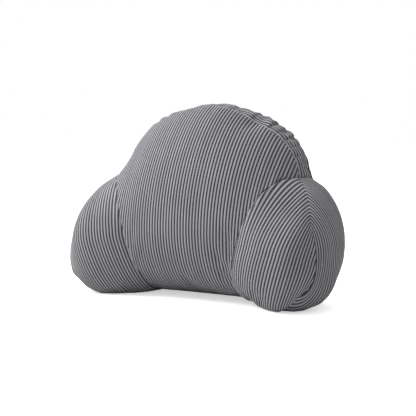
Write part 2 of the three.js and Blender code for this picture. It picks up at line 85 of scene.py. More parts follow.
arm = {
    # rib stations from the valley seam to the tip seam, for the arm towards +X
    "top": [[178, 20, 216], [202, -7, 193], [220, -33, 165], [229, -50, 138]],
    "mid": [[110, -74, 112], [156, -88, 102], [206, -89, 94], [241, -57, 88]],
    "low": [[98, 42, 4], [140, 5, -3], [175, -42, 1], [205, -77, 33]],
    "lean": [[0.3, 0, 1], [0.3, 0, 1], [0.2, 0.03, 1], [-0.05, 0.1, 1]],
    "fullTop": (0.7, 1.6),  # at the valley seam and further along; below 1 is squarer, above 1 flatter
    "fullRise": 3,  # the second is reached a third of the way along
    "fullLow": 0.75,
    # fullest points of the outer panel from the tip seam to the side seam
    "outerMid": [[241, -57, 88], [254, -23, 92], [258, 12, 103], [248, 46, 112], [216, 66, 108]],
    "outerFullTop": (1.6, 0.9),  # along the ridge and at the back
    "outerFullLow": 0.62,
    "innerRibs": 30,
    "valleyRibs": 6,  # ribs that end on the upper half of the valley seam
    "tipRibs": 8,  # ribs that end on the tip seam, above tipStart
    "tipStart": 0.25,
    "stripEndRibs": 13,  # ribs of the outer panel that end below the boxing strip
}
dome = {
    "frontApex": (42, 339),  # y and z
    "backApex": (84, 341),
    "backCorner": (183, 67, 208),
    "frontPower": 1.7,
    "backPower": 1.85,
    "stripCrown": [[2], [4], [9], [8], [8]],  # at even steps from the middle to an end
    "stripCentre": 170,  # the strip bulges away from this height
    "stripRibs": 9,
}
front = {
    "midY": -80,
    "midZ": 130,
    "drop": 17,  # how far the fullest line falls back towards the sides
    "dropPower": 2.2,
    "fullTop": (1.55, 2.05),  # in the middle and at the sides
    "fullPower": 3,
    "fullLow": 0.9,
    "reach": 25,  # distance over which the panel is drawn into the valley seam
    "footBlend": 0.1,  # angle in which the rows of a rib crowd together above a raised foot
    "footPower": 4,
    "footEvening": 0.05,  # how far the rib ends are evened out along the valley seam
    "ribs": 69,
    "edgeRibs": 0.08,  # how much closer the ribs get towards the sides
    "edgePower": 3,
    "bow": 6,  # ribs beside one arm bow aside, towards the middle
    "bowPlace": -142,
    "bowReach": 40,
    "bowPower": 8,
}
base = {
    "frontY": 48,
    "seamZ": 4,
    "power": 4,
    "backCorner": (184, 70, 4),
    "backBow": 12,
}
rear = {
    "crown": 26,
    "rise": 40,  # the back is fullest higher up in its middle
    "fullTop": 1.0,
    "ribs": 73,
}
lowRows = 1.5  # above 1 brings the rows of a rib closer together near the floor
valleySteps = 800  # of the table along the valley seam
shareSteps = 2000  # of the table across the front

valleyCorner = np.array(arm["top"][0], float)
baseCorner = np.array(arm["low"][0], float)
stripCorner = np.array(dome["backCorner"], float)
rearCorner = np.array(base["backCorner"], float)
tipPlace = arm["innerRibs"] - arm["tipRibs"]
ridgeRibs = tipPlace - arm["valleyRibs"]
ridgeShare = ridgeRibs / (ridgeRibs + arm["stripEndRibs"])
upright = np.array([0.0, 0.0, 1.0])


def mix(a, b, t):
    # straight blend from a to b
    return a + (b - a) * t


def throughRows(rows, share):
    # smooth curve through evenly spaced rows: cubic pieces whose slope at a row is half the step past it
    rows = np.asarray(rows, float)
    last = len(rows) - 1
    padded = np.concatenate([[2 * rows[0] - rows[1]], rows, [2 * rows[-1] - rows[-2]]])
    place = np.clip(share, 0, 1) * last
    start = np.minimum(place.astype(int), last - 1)
    t = (place - start)[..., None]
    a, b, c, d = (padded[start + k] for k in range(4))
    slopeB, slopeC = (c - a) / 2, (d - b) / 2
    square = 3 * (c - b) - 2 * slopeB - slopeC
    cube = 2 * (b - c) + slopeB + slopeC
    return b + slopeB * t + square * t**2 + cube * t**3


def ribArc(top, mid, low, lean, angle, fullTop, fullLow):
    # two quarter ellipses: from the low end up to mid along lean, and from mid over to the top end
    sine = np.sin(angle)[..., None]
    cosine = np.clip(np.cos(angle), 0, 1)[..., None]
    rising = sine > 0
    end = np.where(rising, top, low)
    corner = mid + lean * (end - mid)[..., 2:3]
    nearMid = 1 - np.abs(sine)
    nearEnd = 1 - cosine ** np.where(rising, fullTop, fullLow)
    return corner * (1 - nearMid - nearEnd) + mid * nearMid + end * nearEnd


def ribAngle(v):
    # quarter turn below to quarter turn above, with closer steps near the low end
    return quarterTurn * np.where(v < 0.5, np.clip(2 * v, 0, 1) ** lowRows - 1, 2 * v - 1)


def innerArm(u, v):
    # ribs from the valley seam to the tip seam, each an arc through its own station
    rows = [throughRows(arm[name], u) for name in ("top", "mid", "low", "lean")]
    fullTop = mix(*arm["fullTop"], np.clip(arm["fullRise"] * u, 0, 1))[..., None]
    return ribArc(*rows, ribAngle(v), fullTop, arm["fullLow"])


def innerRibs(u, s):
    # the inner arm along its ribs, by their number from the valley seam and the share of each rib:
    # the first run into the upper half of the valley seam, and the last into the tip seam
    place = u * arm["innerRibs"]
    toValley = 0.5 + 0.5 * place / arm["valleyRibs"]
    toTip = mix(1, arm["tipStart"], (place - tipPlace) / arm["tipRibs"])
    v = s * np.clip(np.minimum(toValley, toTip), 0, 1)
    ended = arm["valleyRibs"] * np.clip(2 * v - 1, 0, 1)
    tipEnded = arm["tipRibs"] * np.clip((v - arm["tipStart"]) / (1 - arm["tipStart"]), 0, 1)
    return innerArm((place - ended) / (arm["innerRibs"] - ended - tipEnded), v)


def outerArm(u, v):
    # ribs from the tip seam to the side seam at the back, each an arc that hangs from the ridge,
    # or past it from the strip's end
    along = np.clip(u / ridgeShare, 0, 1)
    past = np.clip((u - ridgeShare) / (1 - ridgeShare), 0, 1)
    leanShare = np.clip(1 - 2 * along, 0, 1)[..., None]
    lean = mix(upright, throughRows(arm["lean"], 1 - along), leanShare)
    fullTop = mix(*arm["outerFullTop"], past)[..., None]
    top = throughRows(arm["top"], 1 - along) + boxingStrip(0 * u + 1, past) - valleyCorner
    mid = throughRows(arm["outerMid"], u)
    low = mix(throughRows(arm["low"], 1 - along), rearCorner, past[..., None])
    return ribArc(top, mid, low, lean, ribAngle(v), fullTop, arm["outerFullLow"])


def domeLine(corner, apex, power, x):
    # height falls from the apex as a rounded power curve, and depth with the square root of that
    rise = np.clip(1 - np.abs(x / corner[0]) ** power, 0, 1) ** (1 / power)
    y = mix(corner[1], apex[0], np.sqrt(rise))
    z = mix(corner[2], apex[1], rise)
    return np.stack([x, y, z], -1)


def domePlace(share):
    # share of the half width reached along a dome line, by even angles from end to end
    return np.sin(quarterTurn * (2 * share - 1))


def frontDome(x):
    # the seam between the front panel and the boxing strip
    return domeLine(valleyCorner, dome["frontApex"], dome["frontPower"], x)


def backDome(x):
    # the seam between the boxing strip and the back panel
    return domeLine(stripCorner, dome["backApex"], dome["backPower"], x)


def baseFront(x):
    # nearly straight across, bending forward to the arm corners
    bend = np.clip(np.abs(x) / baseCorner[0], 0, 1) ** base["power"]
    y = mix(base["frontY"], baseCorner[1], bend)
    return np.stack([x, y, np.full_like(x, base["seamZ"])], -1)


def baseBack(w):
    # a shallow bow between the back corners
    y = rearCorner[1] + base["backBow"] * (1 - w**2)
    return np.stack([w * rearCorner[0], y, np.full_like(w, base["seamZ"])], -1)


def valleyLine(angle):
    # the seam between the front panel and an arm, from the base corner up to the strip
    stations = [np.array(arm[name][0], float) for name in ("top", "mid", "low", "lean")]
    return ribArc(*stations, angle, arm["fullTop"][0], arm["fullLow"])


# front ribs end on the valley seam at their own place across, or at its foot where the seam turns in
valleyAngles = np.linspace(-quarterTurn, quarterTurn, valleySteps + 1)
evenPlaces = np.linspace(baseCorner[0], valleyCorner[0], valleySteps + 1)
valleyPlaces = np.maximum.accumulate(valleyLine(valleyAngles)[:, 0])
valleyPlaces = mix(valleyPlaces, evenPlaces, front["footEvening"])


def valleyRib(angle):
    # the front rib that ends on the valley seam at this angle
    return np.interp(angle, valleyAngles, valleyPlaces)


def valleyAngle(x):
    # the angle on the valley seam where this front rib ends
    return np.interp(np.abs(x), valleyPlaces, valleyAngles)


def softClimb(angle):
    # straight line above zero that eases into zero below
    return front["footBlend"] * np.logaddexp(0, angle / front["footBlend"])


def frontPlace(u):
    # the place of a rib across the front, whose ribs get closer towards the sides
    w = 2 * u - 1
    return valleyCorner[0] * (w + front["edgeRibs"] * w * (1 - np.abs(w) ** front["edgePower"]))


def frontShare(x):
    # the rib share at a place across the front, read back from a table
    table = np.linspace(0, 1, shareSteps + 1)
    return np.interp(x, frontPlace(table), table)


def frontRib(x):
    # top, mid and low of a whole rib from base to dome, and how it fills out between mid and top
    top = frontDome(x)
    low = baseFront(x)
    height = (top[..., 2] - base["seamZ"]) / (dome["frontApex"][1] - base["seamZ"])
    sideways = np.abs(x / valleyCorner[0])
    midY = front["midY"] + front["drop"] * sideways ** front["dropPower"]
    mid = np.stack([x, midY, mix(base["seamZ"], front["midZ"], height)], -1)
    return top, mid, low, mix(*front["fullTop"], sideways ** front["fullPower"])[..., None]


def frontArc(x, angle):
    # the point of a whole rib at an angle
    top, mid, low, fullTop = frontRib(x)
    return ribArc(top, mid, low, upright, angle, fullTop, front["fullLow"])


def angleAtHeight(x, z):
    # the angle at which a whole rib passes a height
    top, mid, low, _ = frontRib(x)
    above = z - mid[..., 2]
    end = np.where(above > 0, top[..., 2], low[..., 2]) - mid[..., 2]
    return np.arcsin(np.clip(above / end, 0, 1)) * np.sign(above)


def frontBow(x, climbed):
    # how far a rib bows aside: a bell curve across the panel, and most at half the rib's length
    near = np.exp(-(((x - front["bowPlace"]) / front["bowReach"]) ** 2))
    edge = 1 - (x / valleyCorner[0]) ** front["bowPower"]
    return front["bow"] * near * edge * 4 * climbed * (1 - climbed)


def frontPanel(u, v):
    # whole ribs from base to dome, cut short by the valley seam and drawn into it at their feet
    x = frontPlace(u)
    onValley = np.abs(x) > baseCorner[0]
    foot = valleyLine(valleyAngle(x))
    foot[..., 0] *= np.sign(x)
    foot = np.where(onValley[..., None], foot, baseFront(x))
    start = np.where(onValley, angleAtHeight(x, foot[..., 2]), -quarterTurn)
    angle = mix(-quarterTurn, quarterTurn, v)
    climb = softClimb(angle - start) - softClimb(-quarterTurn - start) * (1 - v) ** front["footPower"]
    angle = start + climb * (quarterTurn - start) / softClimb(quarterTurn - start)
    origin, point = frontArc(x, start), frontArc(x, angle)
    distance = np.linalg.norm(point - origin, axis=-1)
    pull = np.exp(-distance / front["reach"]) * (1 - v)
    climbed = (angle - start) / np.maximum(quarterTurn - start, tiny)
    aside = x + frontBow(x, climbed)
    point = frontArc(aside, np.where(angle > 0, angleAtHeight(aside, point[..., 2]), angle))
    return point + (foot - origin) * pull[..., None]


def boxingStrip(u, v):
    # straight across between the two dome seams, crowned outwards
    w = domePlace(u)
    point = mix(frontDome(w * valleyCorner[0]), backDome(w * stripCorner[0]), v[..., None])
    outward = point * [1, 0, 1] - [0, 0, dome["stripCentre"]]
    outward /= np.linalg.norm(outward, axis=-1, keepdims=True)
    crown = throughRows(dome["stripCrown"], np.abs(2 * u - 1)) * (4 * v * (1 - v))[..., None]
    return point + outward * crown


def backPanel(u, v):
    # upright ribs from the base to the dome, crowned towards the middle
    w = 1 - 2 * u
    middle = 1 - w**2
    side = np.array(arm["outerMid"][-1], float)
    mid = np.stack([w * side[0], side[1] + rear["crown"] * middle, side[2] + rear["rise"] * middle], -1)
    top = backDome(w * stripCorner[0])
    return ribArc(top, mid, baseBack(w), upright, ribAngle(v), rear["fullTop"], arm["outerFullLow"])


def baseStrip(u, v):
    # flat on the floor between its back and front edges
    w = 2 * u - 1
    return mix(baseBack(w), baseFront(w * baseCorner[0]), v[..., None]) * [1, 1, 0]


# uneven filling: places where the pillow is pushed out or falls in

filling = [
    # place, push and reach
    ((-165, 10, 235), (4, 3, -2), 32),
    ((-240, -50, 130), (4, 2, 0), 45),
    ((-150, 45, 288), (2, 1, 0), 34),
    ((-105, 40, 305), (-3, 0, 4), 60),
    ((90, 20, 315), (-3, 0, -6), 35),
    ((190, 66, 240), (-6, 0, 0), 36),
    ((202, 78, 218), (-8, 0, -2), 24),
    ((237, -6, 26), (5, 3, 0), 34),
    ((115, -29, 4), (6, 3, 0), 26),
]


def settled(points):
    # each place moves the points around it by its push, less with distance as a bell curve
    moved = points.copy()
    for place, push, reach in filling:
        near = np.exp(-((points - place) ** 2).sum(-1, keepdims=True) / reach**2)
        moved += near * push
    return moved


# sewing the pieces: shared seam lines, and a strip of triangles from each seam to the panel beside it

sewing = {
    "depth": 0.6,  # how far a panel stands above its sewn-in seams
    "reach": 10,
    "step": 5e-4,  # change of a share over which slopes are measured
    "margin": 0.006,  # first row of a panel beside its seam, as a share of the rib's length
    "beside": 0.015,  # share of a panel at which a seam reads the slope of the cloth beside it
    "samples": 240,  # points of a seam that distances are measured to
    "batches": 40,
    "cornerDigits": 2,  # seams meet where their ends agree to this many decimals
}
rib = {
    "height": 1.5,
    "roundness": 2.4,
    "offsets": (0.0, 0.13, 0.32, 0.5, 0.68, 0.87),  # columns across one rib, the groove first
    "fade": 2.0,  # distance from a seam in which its ribs come up
    "pitch": 6.0,  # length of cloth for each unit of the pattern along a rib
    "seamPlace": {"valley": 0.1},  # how far across a rib a seam lies, where it isn't in a groove
}
seamLines = {
    # lines towards +X, each from its low or front end
    "valley": lambda s: innerArm(0 * s, s),
    "tip": lambda s: innerArm(0 * s + 1, s),
    "ridge": lambda s: throughRows(arm["top"], s),
    "under": lambda s: throughRows(arm["low"], s),
    "side": lambda s: outerArm(0 * s + 1, s),
    "stripEnd": lambda s: boxingStrip(0 * s + 1, s),
    "baseEnd": lambda s: mix(baseCorner, rearCorner, s[:, None]),
    "frontDome": lambda s: frontDome(domePlace(s) * valleyCorner[0]),
    "backDome": lambda s: backDome(domePlace(s) * stripCorner[0]),
    "baseFront": lambda s: baseFront((2 * s - 1) * baseCorner[0]),
    "baseBack": lambda s: baseBack(2 * s - 1),
}
armSeams = ("valley", "ridge", "under", "tip", "side", "stripEnd", "baseEnd")
middleSeams = ("frontDome", "backDome", "baseFront", "baseBack")
sewnIn = {
    # seams that draw each panel in, and by what share of its relief
    "innerArm": {"valley": 0.15},
    "outerArm": {"side": 1, "stripEnd": 0.5, "baseEnd": 1},
    "frontPanel": {"valley": 0.15, "frontDome": 0.5, "baseFront": 1},
    "boxingStrip": {"frontDome": 0.5, "backDome": 1, "stripEnd": 0.5},
    "backPanel": {"backDome": 1, "baseBack": 1, "side": 1},
}
liftedSeams = ("valley", "frontDome", "stripEnd", "ridge", "under", "tip")
surfaces = {
    "innerArm": innerRibs,
    "outerArm": outerArm,
    "frontPanel": frontPanel,
    "boxingStrip": boxingStrip,
    "backPanel": backPanel,
    "baseStrip": baseStrip,
}


class Cover:
    # collects points, faces and pattern coordinates of the sewn cover
    def __init__(self):
        self.points = []
        self.count = 0
        self.seamCount = 0
        self.quads = []
        self.quadUv = []
        self.tris = []
        self.triUv = []
        self.seams = {}
        self.panels = {}
        self.newIds = None

    def add(self, points):
        # new points, none of them below the floor
        flat = settled(points.reshape(-1, 3))
        flat[:, 2] = np.maximum(flat[:, 2], 0)
        ids = np.arange(self.count, self.count + len(flat))
        self.points.append(flat)
        self.count += len(flat)
        return ids.reshape(points.shape[:-1])

    def zip(self, seamIds, seamUv, edgeIds, edgeUv, axis, side):
        # a seam step points to the edge point already reached, and an edge step to the seam point
        seamShare, edgeShare = seamUv[:, axis], edgeUv[:, axis]
        if edgeShare[-1] < edgeShare[0]:
            seamShare, edgeShare = -seamShare, -edgeShare
        toEdge = np.searchsorted(edgeShare[1:], seamShare[1:], side="left")
        toSeam = np.searchsorted(seamShare[1:], edgeShare[1:], side="right")
        ids = np.concatenate([
            np.stack([seamIds[:-1], seamIds[1:], edgeIds[toEdge]], 1),
            np.stack([seamIds[toSeam], edgeIds[1:], edgeIds[:-1]], 1)])
        uvs = np.concatenate([
            np.stack([seamUv[:-1], seamUv[1:], edgeUv[toEdge]], 1),
            np.stack([seamUv[toSeam], edgeUv[1:], edgeUv[:-1]], 1)])
        self.tris.append(ids[:, ::side])
        self.triUv.append(uvs[:, ::side])

    def panel(self, name, side, points, u, v, seams, pattern):
        # points form a grid of u by v shares; seams are (ids, shares) below, right, above and left of it
        ids = self.add(points)
        self.panels[name, side] = (ids, u, v, seams)
        uv = np.stack(np.broadcast_arrays(u[:, None], v[None, :]), -1)
        cells = [np.s_[:-1, :-1], np.s_[1:, :-1], np.s_[1:, 1:], np.s_[:-1, 1:]]
        self.quads.append(np.stack([ids[c].ravel() for c in cells], 1)[:, ::side])
        turn, start = pattern
        self.quadUv.append(np.stack([uv[c].reshape(-1, 2) for c in cells], 1)[:, ::side] @ turn + start)
        (low, lowU), (right, rightV), (high, highU), (left, leftV) = seams
        edges = [
            (low, np.stack([lowU, 0 * lowU], 1), ids[:, 0], uv[:, 0], 0),
            (right, np.stack([0 * rightV + 1, rightV], 1), ids[-1], uv[-1], 1),
            (high[::-1], np.stack([highU, 0 * highU + 1], 1)[::-1], ids[::-1, -1], uv[::-1, -1], 0),
            (left[::-1], np.stack([0 * leftV, leftV], 1)[::-1], ids[0, ::-1], uv[0, ::-1], 1),
        ]
        first = len(self.tris)
        for edge in edges:
            self.zip(*edge, side)
        self.triUv[first:] = [uvs @ turn + start for uvs in self.triUv[first:]]


def joinSeams(*parts):
    # seams end to end, each after the first without its repeated corner
    ids = np.concatenate([parts[0][0], *(p[0][1:] for p in parts[1:])])
    shares = np.concatenate([parts[0][1], *(p[1][1:] for p in parts[1:])])
    return ids, shares


def turned(seam):
    # the same seam from its other end
    return seam[0][::-1], 1 - seam[1][::-1]


def mirrored(points, side):
    # side -1 is the half towards -X
    return points * [side, 1, 1]


def innerSeams(arms):
    # the valley and tip seams turn from the panel's sides on to its upper edge
    ids, shares = arms["valley"]
    half = len(ids) // 2
    valleyCut = arm["valleyRibs"] / arm["innerRibs"]
    left = ids[:half + 1], 2 * shares[:half + 1]
    highValley = ids[half:], valleyCut * (2 * shares[half:] - 1)
    ids, shares = arms["tip"]
    turn = round(arm["tipStart"] * (len(ids) - 1))
    tipCut = tipPlace / arm["innerRibs"]
    right = ids[:turn + 1], shares[:turn + 1] / arm["tipStart"]
    tipDown = (1 - shares[turn:][::-1]) / (1 - arm["tipStart"])
    highTip = ids[turn:][::-1], mix(tipCut, 1, tipDown)
    ridge = arms["ridge"][0], mix(valleyCut, tipCut, arms["ridge"][1])
    return arms["under"], right, joinSeams(highValley, ridge, highTip), left


def outerSeams(arms):
    # the ridge and the seam under the arm, each followed by the seam behind it
    edges = []
    for along, past in (("under", "baseEnd"), ("ridge", "stripEnd")):
        ids, shares = turned(arms[along])
        behind = arms[past][0], mix(ridgeShare, 1, arms[past][1])
        edges.append(joinSeams((ids, shares * ridgeShare), behind))
    return edges[0], arms["side"], edges[1], arms["tip"]


def frontSeams(left, right, middle):
    # both valley seams lie below the panel, on either side of the base
    climb = frontShare(valleyRib(ribAngle(right["valley"][1])))
    baseIds, baseShares = middle["baseFront"]
    domeIds, domeShares = middle["frontDome"]
    low = joinSeams((left["valley"][0][::-1], 1 - climb[::-1]),
                    (baseIds, frontShare((2 * baseShares - 1) * baseCorner[0])),
                    (right["valley"][0], climb))
    high = domeIds, frontShare(domePlace(domeShares) * valleyCorner[0])
    corners = [(part["valley"][0][-1:], part["valley"][1][-1:]) for part in (right, left)]
    return low, corners[0], high, corners[1]


def panelSeams(cover, side):
    # the seams below, right of, above and left of each panel, with their shares along it
    left, right = ({name: cover.seams[name, part] for name in armSeams} for part in (-1, 1))
    middle = {name: cover.seams[name, 1] for name in middleSeams}
    arms = right if side > 0 else left
    backHigh = middle["backDome"][0], (1 + domePlace(middle["backDome"][1])) / 2
    baseEnds = [turned(part["baseEnd"]) for part in (right, left)]
    return {
        "innerArm": innerSeams(arms),
        "outerArm": outerSeams(arms),
        "frontPanel": frontSeams(left, right, middle),
        "boxingStrip": (middle["frontDome"], right["stripEnd"], middle["backDome"], left["stripEnd"]),
        "backPanel": (turned(middle["baseBack"]), left["side"], turned(backHigh), right["side"]),
        "baseStrip": (middle["baseBack"], baseEnds[0], middle["baseFront"], baseEnds[1]),
    }


def sewCover(shapeSeam, shapePanel):
    # seams first, then the arms on both sides and the panels between them
    cover = Cover()
    for name in armSeams:
        for side in (-1, 1):
            points, shares = shapeSeam(name)
            cover.seams[name, side] = cover.add(mirrored(points, side)), shares
    for name in middleSeams:
        points, shares = shapeSeam(name)
        cover.seams[name, 1] = cover.add(points), shares
    cover.seamCount = cover.count
    for name in surfaces:
        for side in (-1, 1) if "Arm" in name else (1,):
            u, v, points, pattern = shapePanel(name)
            seams = panelSeams(cover, side)[name]
            cover.panel(name, side, mirrored(points, side), u, v, seams, pattern)
    return cover


def coverMesh(cover, name):
    # one mesh from the collected arrays, with the seams' shared corners made one point
    points = np.concatenate(cover.points)
    quads, tris = np.concatenate(cover.quads), np.concatenate(cover.tris)
    ids = np.arange(len(points))
    keys = np.round(points[:cover.seamCount], sewing["cornerDigits"])
    _, first, inverse = np.unique(keys, axis=0, return_index=True, return_inverse=True)
    ids[:cover.seamCount] = first[inverse.ravel()]
    used = np.zeros(len(points), bool)
    loops = ids[np.concatenate([quads.ravel(), tris.ravel()])]
    used[loops] = True
    newIds = np.cumsum(used) - 1
    mesh = bpy.data.meshes.new(name)
    mesh.vertices.add(int(used.sum()))
    mesh.vertices.foreach_set("co", (points[used] * mm).ravel().astype(np.float32))
    mesh.loops.add(len(loops))
    mesh.loops.foreach_set("vertex_index", newIds[loops].astype(np.int32))
    starts = np.concatenate([np.arange(len(quads)) * 4, len(quads) * 4 + np.arange(len(tris)) * 3])
    mesh.polygons.add(len(starts))
    mesh.polygons.foreach_set("loop_start", starts.astype(np.int32))
    uvLayer = mesh.uv_layers.new(name="ribs")
    uvs = np.concatenate([np.concatenate(part).reshape(-1, 2) for part in (cover.quadUv, cover.triUv)])
    uvLayer.data.foreach_set("uv", uvs.ravel().astype(np.float32))
    mesh.update(calc_edges=True)
    mesh.validate()
    cover.newIds = newIds[ids]
    return mesh


# relief of the cover: swelling between seams, ribs and folds, raised along the panels' outward directions

ribPlaces = {
    # rib numbers at a panel's two edges
    "innerArm": (0, arm["innerRibs"]),
    "outerArm": (tipPlace, arm["valleyRibs"] - arm["stripEndRibs"]),  # the tip seam lies in a groove
    "frontPanel": (0, front["ribs"]),
    "boxingStrip": (0, dome["stripRibs"]),
    "backPanel": (0, rear["ribs"]),
    "baseStrip": (0, 12),  # plain, with columns as for 12 ribs
}
fineCounts = {
    # rows along the ribs of a panel, and steps of a seam
    "innerArm": 60,
    "outerArm": 54,
    "frontPanel": 84,
    "boxingStrip": 150,
    "backPanel": 22,
    "baseStrip": 6,
    "valley": 120,
    "under": 80,
    "tip": 60,
    "side": 60,
    "stripEnd": 16,
    "baseEnd": 16,
    "frontDome": 200,
    "backDome": 160,
    "baseFront": 60,
    "baseBack": 60,
}
ribLengths = {
    # length of the cloth along the ribs, for the scale of the pattern
    "innerArm": 230,
    "outerArm": 240,
    "frontPanel": 430,
    "boxingStrip": 600,
    "backPanel": 360,
    "baseStrip": 40,
}
folds = [
    # cross folds of the strip, as degrees along the dome from its middle:
    # place, depth, and the widths of its steep and of its gentle side
    (-68, 3.0, 1.0, 3.0),
    (-54, 3.5, 0.8, 4.0),
    (-38, 3.5, 0.8, 5.0),
    (-20, 2.0, 1.0, 3.0),
    (14, 2.0, 0.8, 3.0),
    (27, 3.0, 0.6, 3.5),
    (39, 5.5, 0.5, 4.0),
    (46, 3.5, 0.8, 3.0),
    (53, 5.0, 0.5, 3.0),
    (60, 3.5, 0.8, 3.0),
    (68, 2.5, 0.8, 3.0),
    (76, 1.5, 1.0, 3.0),
]
foldColumns = (-1.4, -0.7, -0.25, 0.25, 0.8, 1.6)  # degrees beside each fold
foldEase = 6  # how steeply a fold comes in from the seams at its two ends


def ribProfile(place):
    # rounded crest over each whole number of ribs, with a narrow groove between
    across = 2 * (place % 1) - 1
    return np.sqrt(np.clip(1 - np.abs(across) ** rib["roundness"], 0, 1))


def ribColumns(first, last):
    # shares across a panel at the columns of each rib between its edges
    numbers = np.arange(min(first, last), max(first, last) + 1)
    places = np.add.outer(numbers, rib["offsets"]).ravel()
    shares = (places - first) / (last - first)
    return np.sort(shares[(shares > tiny) & (shares < 1 - tiny)])


def seamDistance(points, name):
    # distance to the nearest point of a seam, on both halves, in batches that fit in memory
    line = seamLines[name](np.linspace(0, 1, sewing["samples"]))
    line = np.concatenate([line, mirrored(line, -1)]).astype(np.float32)
    flat = points.reshape(-1, 3).astype(np.float32)
    batches = np.array_split(flat, sewing["batches"])
    near = [np.sqrt(((part[:, None] - line) ** 2).sum(-1).min(1)) for part in batches]
    return np.concatenate(near).reshape(points.shape[:-1]).astype(float)


def outwards(surface, u, v):
    # cross product of the slopes along u and along v
    step = sewing["step"]
    slopeU = surface(u + step, v) - surface(u - step, v)
    slopeV = surface(u, v + step) - surface(u, v - step)
    normal = np.cross(slopeU, slopeV)
    return normal / np.linalg.norm(normal, axis=-1, keepdims=True)


def reliefHeight(points, place, seams):
    # swelling and ribs, each drawn in by the seam that reaches it most
    swellDrawn, ribsDrawn = np.zeros(points.shape[:-1]), np.zeros(points.shape[:-1])
    for name, share in seams.items():
        distance = seamDistance(points, name)
        swellDrawn = np.maximum(swellDrawn, share * np.exp(-distance / sewing["reach"]))
        ribsDrawn = np.maximum(ribsDrawn, share * np.exp(-distance / rib["fade"]))
    return sewing["depth"] * (1 - swellDrawn) + rib["height"] * ribProfile(place) * (1 - ribsDrawn)


def foldDepth(u, v):
    # each fold falls steeply on the side towards the middle, comes up gently on the other,
    # and fades out at the seams
    angle = 90 * (2 * u - 1)
    depth = np.zeros_like(u)
    for place, deep, steep, gentle in folds:
        past = (angle - place) * np.sign(place)
        depth += deep * np.exp(-np.abs(past) / np.where(past < 0, steep, gentle))
    return depth * np.clip(foldEase * v * (1 - v), 0, 1)


def seamSides(name, share):
    # the two panels that meet on a lifted seam, with the shares of a place close to it on each
    near = sewing["beside"]
    s = np.clip(share, near, 1 - near)
    low, high = 0 * s + near, 0 * s + 1 - near
    if name == "valley":
        across = frontShare(valleyRib(ribAngle(s)))
        return {"innerArm": (innerArm, low, s), "frontPanel": (frontPanel, across, low)}
    if name == "frontDome":
        across = frontShare(domePlace(s) * valleyCorner[0])
        return {"frontPanel": (frontPanel, across, high), "boxingStrip": (boxingStrip, s, low)}
    if name == "stripEnd":
        past = mix(ridgeShare, 1, s)
        return {"boxingStrip": (boxingStrip, high, s), "outerArm": (outerArm, past, high)}
    if name == "tip":
        return {"innerArm": (innerArm, high, s), "outerArm": (outerArm, low, s)}
    edge = high if name == "ridge" else low
    return {"innerArm": (innerArm, s, edge), "outerArm": (outerArm, ridgeShare * (1 - s), edge)}


def meanOutward(sides):
    # the mean of the panels' outward directions
    total = sum(outwards(*side) for side in sides)
    return total / np.linalg.norm(total, axis=-1, keepdims=True)


def liftedSeam(name, share):
    # a seam rises with its two panels, along the mean of their outward directions
    points = seamLines[name](share)
    sides = seamSides(name, share)
    place = 0 * share + rib["seamPlace"].get(name, 0)
    if name == "ridge":  # ribs end on it one after another
        place = mix(arm["valleyRibs"], tipPlace, share)
    seams = {key: draw for panel in sides for key, draw in sewnIn[panel].items()}
    height = reliefHeight(points, place, seams)
    return points + meanOutward(sides.values()) * height[:, None]


def liftedCorner():
    # the front, the strip and both arm panels meet at the top of the valley seam
    ends = {"valley": 1.0, "frontDome": 1.0, "stripEnd": 0.0, "ridge": 0.0}
    return np.mean([liftedSeam(name, np.array([end]))[0] for name, end in ends.items()], axis=0)


def fineSeam(name):
    # even steps, or the columns of the ribs that meet on the ridge
    if name == "ridge":
        share = np.concatenate([[0], ribColumns(arm["valleyRibs"], tipPlace), [1]])
    else:
        share = np.linspace(0, 1, fineCounts[name] + 1)
    if name not in liftedSeams:
        return seamLines[name](share), share
    points = liftedSeam(name, share)
    if name == "tip":
        points[[0, -1]] = [liftedSeam(end, np.ones(1))[0] for end in ("under", "ridge")]
    if name in ("stripEnd", "ridge", "frontDome"):
        points[0] = mirrored(liftedCorner(), -1 if name == "frontDome" else 1)
    if name in ("valley", "frontDome"):
        points[-1] = liftedCorner()
    return points, share


def finePanel(name):
    # a grid at the rib columns, raised by swelling and ribs, with its pattern coordinates:
    # ribs counted across, and pitches along them
    surface = surfaces[name]
    first, last = ribPlaces[name]
    across = ribColumns(first, last)
    along = np.linspace(sewing["margin"], 1 - sewing["margin"], fineCounts[name])
    ribsAlongU = name == "boxingStrip"
    if ribsAlongU:
        beside = np.add.outer([fold[0] for fold in folds], foldColumns).ravel()
        along = np.union1d(along, 0.5 + beside / 180)
    u, v = (along, across) if ribsAlongU else (across, along)
    gridU, gridV = np.meshgrid(u, v, indexing="ij")
    points = surface(gridU, gridV)
    long, wide = ribLengths[name] / rib["pitch"], last - first
    turn = [[0, long], [wide, 0]] if ribsAlongU else [[wide, 0], [0, long]]
    pattern = np.array(turn, float), (first, 0)
    if name == "baseStrip":
        return u, v, points, pattern
    place = mix(first, last, gridV if ribsAlongU else gridU)
    height = reliefHeight(points, place, sewnIn[name])
    if ribsAlongU:
        height -= foldDepth(gridU, gridV)
    return u, v, points + outwards(surface, gridU, gridV) * height[..., None], pattern


cover = sewCover(fineSeam, finePanel)
print("cover cut, points", cover.count)


# stuffing: a coarse copy of the cover is blown up as cloth, and the fine cover takes over its moves

